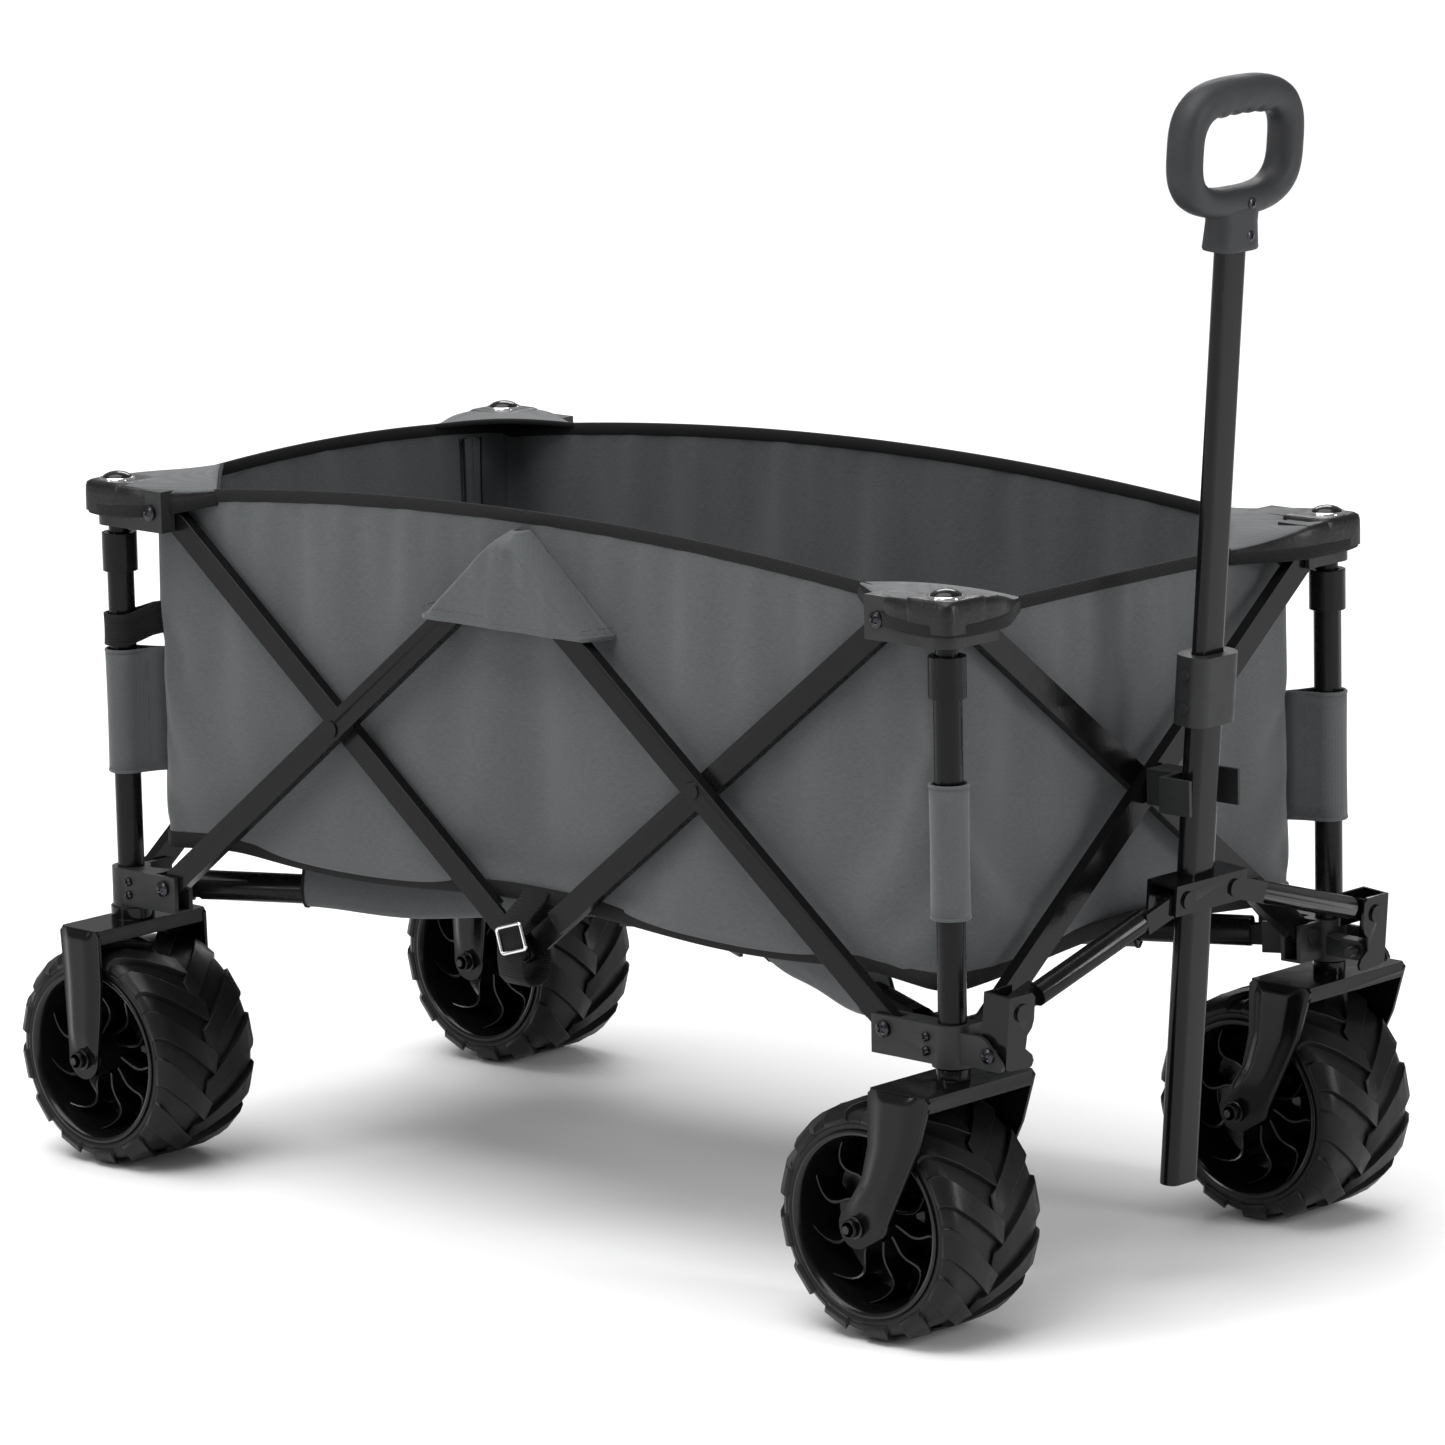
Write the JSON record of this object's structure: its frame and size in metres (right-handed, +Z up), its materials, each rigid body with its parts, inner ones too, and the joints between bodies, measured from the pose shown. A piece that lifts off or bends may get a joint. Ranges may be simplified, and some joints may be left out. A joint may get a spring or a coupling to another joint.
{
  "type": "folding wagon with pull handle",
  "caption": "Folding fabric utility wagon on a scissor-link steel frame with swivel front casters and a telescoping pull handle.",
  "frame": {"origin": "middle of the whole length and width, on the ground under the wheels", "axes": "+X forward to the pull handle, +Y left, +Z up; the handle is parked upright and the casters trail"},
  "size_m": [1.1062, 0.5902, 0.9408],
  "materials": {
    "frame_steel": "satin black powder coat",
    "bracket_plastic": "matte charcoal moulded nylon",
    "grip_plastic": "soft matte black",
    "tyre": "matte moulded tread",
    "rim": "gloss black",
    "bag_fabric": "woven polyester",
    "mat_fabric": "woven polyester over board",
    "webbing": "black webbing"
  },
  "bodies": {
    "chassis": {"rear_right_bracket": "bracket_plastic", "rear_right_post": "frame_steel", "rear_right_fork": "frame_steel", "bag": "bag_fabric", "floor_mat": "mat_fabric", "post_sleeves": "bag_fabric", "joint_straps": "webbing"},
    "rear_left_corner": {"rear_left_bracket": "bracket_plastic", "rear_left_post": "frame_steel", "rear_left_fork": "frame_steel"},
    "front_right_corner": {"front_right_bracket": "bracket_plastic", "front_right_post": "frame_steel"},
    "front_left_corner": {"front_left_bracket": "bracket_plastic", "front_left_post": "frame_steel"},
    "right_caster": {"front_right_caster_fork": "frame_steel"},
    "left_caster": {"front_left_caster_fork": "frame_steel"},
    "yoke": {"yoke_bracket": "frame_steel", "handle_outer_tube": "frame_steel", "clamp_collar": "bracket_plastic"},
    "handle": {"handle_inner_tube": "frame_steel", "grip": "grip_plastic"},
    "handle_clip": {"handle_clip": "bracket_plastic"},
    "right_latch": {"right_latch": "frame_steel"},
    "left_latch": {"left_latch": "frame_steel"},
    "right_yoke_arm": {"right_yoke_arm": "frame_steel"},
    "left_yoke_arm": {"left_yoke_arm": "frame_steel"},
    "arm_hub": {"arm_hub": "bracket_plastic"},
    "rear_right_cap": {"rear_right_cap": "bracket_plastic", "rear_right_inner_post": "frame_steel"},
    "rear_right_arm": {"rear_right_arm": "frame_steel"},
    "rear_right_wheel": {"rear_right_tyre": "tyre", "rear_right_rim": "rim"},
    "rear_left_cap": {"rear_left_cap": "bracket_plastic", "rear_left_inner_post": "frame_steel"},
    "rear_left_arm": {"rear_left_arm": "frame_steel"},
    "rear_left_wheel": {"rear_left_tyre": "tyre", "rear_left_rim": "rim"},
    "front_right_cap": {"front_right_cap": "bracket_plastic", "front_right_inner_post": "frame_steel"},
    "front_right_arm": {"front_right_arm": "frame_steel"},
    "front_right_wheel": {"front_right_tyre": "tyre", "front_right_rim": "rim"},
    "front_left_cap": {"front_left_cap": "bracket_plastic", "front_left_inner_post": "frame_steel"},
    "front_left_arm": {"front_left_arm": "frame_steel"},
    "front_left_wheel": {"front_left_tyre": "tyre", "front_left_rim": "rim"},
    "right_rear_riser": {"right_rear_riser": "frame_steel"},
    "right_rear_faller": {"right_rear_faller": "frame_steel"},
    "right_front_riser": {"right_front_riser": "frame_steel"},
    "right_front_faller": {"right_front_faller": "frame_steel"},
    "left_rear_riser": {"left_rear_riser": "frame_steel"},
    "left_rear_faller": {"left_rear_faller": "frame_steel"},
    "left_front_riser": {"left_front_riser": "frame_steel"},
    "left_front_faller": {"left_front_faller": "frame_steel"},
    "rear_end_riser": {"rear_end_riser": "frame_steel"},
    "rear_end_faller": {"rear_end_faller": "frame_steel"},
    "front_end_riser": {"front_end_riser": "frame_steel"},
    "front_end_faller": {"front_end_faller": "frame_steel"}
  },
  "joints": [
    {"name": "fold", "type": "hinge", "parent": "chassis", "child": "right_rear_riser", "pos_m": [-0.40511, -0.225, 0.236], "axis": [0, -1, 0], "range_deg": [0, 36.7], "deforming": ["bag", "floor_mat", "post_sleeves", "joint_straps"]},
    {"name": "right_rear_crossing", "type": "hinge", "parent": "right_rear_riser", "child": "right_rear_faller", "pos_m": [-0.20761, -0.225, 0.392], "axis": [0, -1, 0], "range_deg": [-73.6, 0.2]},
    {"name": "right_top_joint", "type": "hinge", "parent": "right_rear_riser", "child": "right_front_faller", "pos_m": [-0.01011, -0.225, 0.548], "axis": [0, -1, 0], "range_deg": [-73.6, 0.2]},
    {"name": "right_front_crossing", "type": "hinge", "parent": "right_front_faller", "child": "right_front_riser", "pos_m": [0.18739, -0.225, 0.392], "axis": [0, -1, 0], "range_deg": [-0.2, 73.6]},
    {"name": "rear_right_cap_pivot", "type": "hinge", "parent": "right_rear_faller", "child": "rear_right_cap", "pos_m": [-0.40511, -0.225, 0.548], "axis": [0, -1, 0], "range_deg": [-0.2, 36.9]},
    {"name": "front_right_corner_pivot", "type": "hinge", "parent": "right_front_faller", "child": "front_right_corner", "pos_m": [0.38489, -0.225, 0.236], "axis": [0, -1, 0], "range_deg": [-0.2, 36.9]},
    {"name": "front_right_cap_pivot", "type": "hinge", "parent": "right_front_riser", "child": "front_right_cap", "pos_m": [0.38489, -0.225, 0.548], "axis": [0, -1, 0], "range_deg": [-36.9, 0.2]},
    {"name": "rear_end_riser_pivot", "type": "hinge", "parent": "chassis", "child": "rear_end_riser", "pos_m": [-0.46011, -0.1975, 0.236], "axis": [1, 0, 0], "range_deg": [-0.2, 36.9]},
    {"name": "rear_end_crossing", "type": "hinge", "parent": "rear_end_riser", "child": "rear_end_faller", "pos_m": [-0.46011, 0, 0.392], "axis": [1, 0, 0], "range_deg": [-73.6, 0.2]},
    {"name": "rear_left_corner_pivot", "type": "hinge", "parent": "rear_end_faller", "child": "rear_left_corner", "pos_m": [-0.46011, 0.1975, 0.236], "axis": [1, 0, 0], "range_deg": [-0.2, 36.9]},
    {"name": "left_rear_riser_pivot", "type": "hinge", "parent": "rear_left_corner", "child": "left_rear_riser", "pos_m": [-0.40511, 0.225, 0.236], "axis": [0, -1, 0], "range_deg": [-0.2, 36.9]},
    {"name": "left_rear_crossing", "type": "hinge", "parent": "left_rear_riser", "child": "left_rear_faller", "pos_m": [-0.20761, 0.225, 0.392], "axis": [0, -1, 0], "range_deg": [-73.6, 0.2]},
    {"name": "left_top_joint", "type": "hinge", "parent": "left_rear_riser", "child": "left_front_faller", "pos_m": [-0.01011, 0.225, 0.548], "axis": [0, -1, 0], "range_deg": [-73.6, 0.2]},
    {"name": "left_front_crossing", "type": "hinge", "parent": "left_front_faller", "child": "left_front_riser", "pos_m": [0.18739, 0.225, 0.392], "axis": [0, -1, 0], "range_deg": [-0.2, 73.6]},
    {"name": "rear_left_cap_pivot", "type": "hinge", "parent": "left_rear_faller", "child": "rear_left_cap", "pos_m": [-0.40511, 0.225, 0.548], "axis": [0, -1, 0], "range_deg": [-0.2, 36.9]},
    {"name": "front_left_corner_pivot", "type": "hinge", "parent": "left_front_faller", "child": "front_left_corner", "pos_m": [0.38489, 0.225, 0.236], "axis": [0, -1, 0], "range_deg": [-0.2, 36.9]},
    {"name": "front_left_cap_pivot", "type": "hinge", "parent": "left_front_riser", "child": "front_left_cap", "pos_m": [0.38489, 0.225, 0.548], "axis": [0, -1, 0], "range_deg": [-36.9, 0.2]},
    {"name": "front_end_riser_pivot", "type": "hinge", "parent": "front_right_corner", "child": "front_end_riser", "pos_m": [0.43989, -0.1975, 0.236], "axis": [1, 0, 0], "range_deg": [-0.2, 36.9]},
    {"name": "front_end_crossing", "type": "hinge", "parent": "front_end_riser", "child": "front_end_faller", "pos_m": [0.43989, 0, 0.392], "axis": [1, 0, 0], "range_deg": [-73.6, 0.2]},
    {"name": "clip_pivot", "type": "hinge", "parent": "front_end_riser", "child": "handle_clip", "pos_m": [0.43989, 0, 0.392], "axis": [1, 0, 0], "range_deg": [-36.9, 0.2]},
    {"name": "rear_right_arm_pivot", "type": "hinge", "parent": "chassis", "child": "rear_right_arm", "pos_m": [-0.42254, -0.20622, 0.23], "axis": [0.4472, -0.8944, 0], "range_deg": [-0.2, 74.07]},
    {"name": "rear_left_arm_pivot", "type": "hinge", "parent": "rear_left_corner", "child": "rear_left_arm", "pos_m": [-0.42254, 0.20622, 0.23], "axis": [-0.4472, -0.8944, 0], "range_deg": [-0.2, 74.07]},
    {"name": "front_right_arm_pivot", "type": "hinge", "parent": "front_right_corner", "child": "front_right_arm", "pos_m": [0.40233, -0.20622, 0.23], "axis": [0.4472, 0.8944, 0], "range_deg": [-0.2, 74.07]},
    {"name": "front_left_arm_pivot", "type": "hinge", "parent": "front_left_corner", "child": "front_left_arm", "pos_m": [0.40233, 0.20622, 0.23], "axis": [-0.4472, 0.8944, 0], "range_deg": [-0.2, 74.07]},
    {"name": "hub_lift", "type": "slide", "parent": "chassis", "child": "arm_hub", "axis": [-0.5553, -0.2776, 0.784], "range_m": [-0.002, 0.4788]},
    {"name": "handle_swing", "type": "hinge", "parent": "front_right_corner", "child": "right_latch", "pos_m": [0.48189, -0.212, 0.228], "axis": [0, 1, 0], "range_deg": [0, 80]},
    {"name": "left_latch_swing", "type": "hinge", "parent": "front_left_corner", "child": "left_latch", "pos_m": [0.48189, 0.212, 0.228], "axis": [0, 1, 0], "range_deg": [-0.2, 80.2]},
    {"name": "right_yoke_arm_pivot", "type": "hinge", "parent": "right_latch", "child": "right_yoke_arm", "pos_m": [0.48446, -0.212, 0.2599], "axis": [0.9968, 0, -0.0802], "range_deg": [-0.2, 60.04]},
    {"name": "yoke_pivot", "type": "hinge", "parent": "right_yoke_arm", "child": "yoke", "pos_m": [0.48885, -0.028, 0.31452], "axis": [0.9968, 0, -0.0802], "range_deg": [-60.04, 0.2]},
    {"name": "left_yoke_arm_pivot", "type": "hinge", "parent": "left_latch", "child": "left_yoke_arm", "pos_m": [0.48446, 0.212, 0.2599], "axis": [-0.9968, 0, 0.0802], "range_deg": [-0.2, 60.04]},
    {"name": "handle_telescope", "type": "slide", "parent": "yoke", "child": "handle", "axis": [0.0802, 0, 0.9968], "range_m": [-0.3, 0]},
    {"name": "right_caster_swivel", "type": "hinge", "parent": "front_right_corner", "child": "right_caster", "pos_m": [0.43989, -0.225, 0.203], "axis": [0, 0, 1], "continuous": true},
    {"name": "left_caster_swivel", "type": "hinge", "parent": "front_left_corner", "child": "left_caster", "pos_m": [0.43989, 0.225, 0.203], "axis": [0, 0, 1], "continuous": true},
    {"name": "rear_right_wheel_spin", "type": "hinge", "parent": "chassis", "child": "rear_right_wheel", "pos_m": [-0.46011, -0.225, 0.093], "axis": [0, 1, 0], "continuous": true},
    {"name": "rear_left_wheel_spin", "type": "hinge", "parent": "rear_left_corner", "child": "rear_left_wheel", "pos_m": [-0.46011, 0.225, 0.093], "axis": [0, 1, 0], "continuous": true},
    {"name": "front_right_wheel_spin", "type": "hinge", "parent": "right_caster", "child": "front_right_wheel", "pos_m": [0.39389, -0.225, 0.093], "axis": [0, 1, 0], "continuous": true},
    {"name": "front_left_wheel_spin", "type": "hinge", "parent": "left_caster", "child": "front_left_wheel", "pos_m": [0.39389, 0.225, 0.093], "axis": [0, 1, 0], "continuous": true}
  ],
  "couplings": [
    {"joint": "right_rear_crossing", "follows": "fold", "ratio": -2},
    {"joint": "right_top_joint", "follows": "fold", "ratio": -2},
    {"joint": "right_front_crossing", "follows": "fold", "ratio": 2},
    {"joint": "rear_right_cap_pivot", "follows": "fold", "ratio": 1},
    {"joint": "front_right_corner_pivot", "follows": "fold", "ratio": 1},
    {"joint": "front_right_cap_pivot", "follows": "fold", "ratio": -1},
    {"joint": "rear_end_riser_pivot", "follows": "fold", "ratio": 1},
    {"joint": "rear_end_crossing", "follows": "fold", "ratio": -2},
    {"joint": "rear_left_corner_pivot", "follows": "fold", "ratio": 1},
    {"joint": "left_rear_riser_pivot", "follows": "fold", "ratio": 1},
    {"joint": "left_rear_crossing", "follows": "fold", "ratio": -2},
    {"joint": "left_top_joint", "follows": "fold", "ratio": -2},
    {"joint": "left_front_crossing", "follows": "fold", "ratio": 2},
    {"joint": "rear_left_cap_pivot", "follows": "fold", "ratio": 1},
    {"joint": "front_left_corner_pivot", "follows": "fold", "ratio": 1},
    {"joint": "front_left_cap_pivot", "follows": "fold", "ratio": -1},
    {"joint": "front_end_riser_pivot", "follows": "fold", "ratio": 1},
    {"joint": "front_end_crossing", "follows": "fold", "ratio": -2},
    {"joint": "clip_pivot", "follows": "fold", "ratio": -1},
    {"joint": "rear_right_arm_pivot", "follows": "fold", "ratio": 2.0128},
    {"joint": "rear_left_arm_pivot", "follows": "fold", "ratio": 2.0128},
    {"joint": "front_right_arm_pivot", "follows": "fold", "ratio": 2.0128},
    {"joint": "front_left_arm_pivot", "follows": "fold", "ratio": 2.0128},
    {"joint": "hub_lift", "follows": "fold", "m_per_rad": 0.74439},
    {"joint": "left_latch_swing", "follows": "handle_swing", "ratio": 1},
    {"joint": "right_yoke_arm_pivot", "follows": "fold", "ratio": 1.6305},
    {"joint": "yoke_pivot", "follows": "fold", "ratio": -1.6305},
    {"joint": "left_yoke_arm_pivot", "follows": "fold", "ratio": 1.6305}
  ]
}
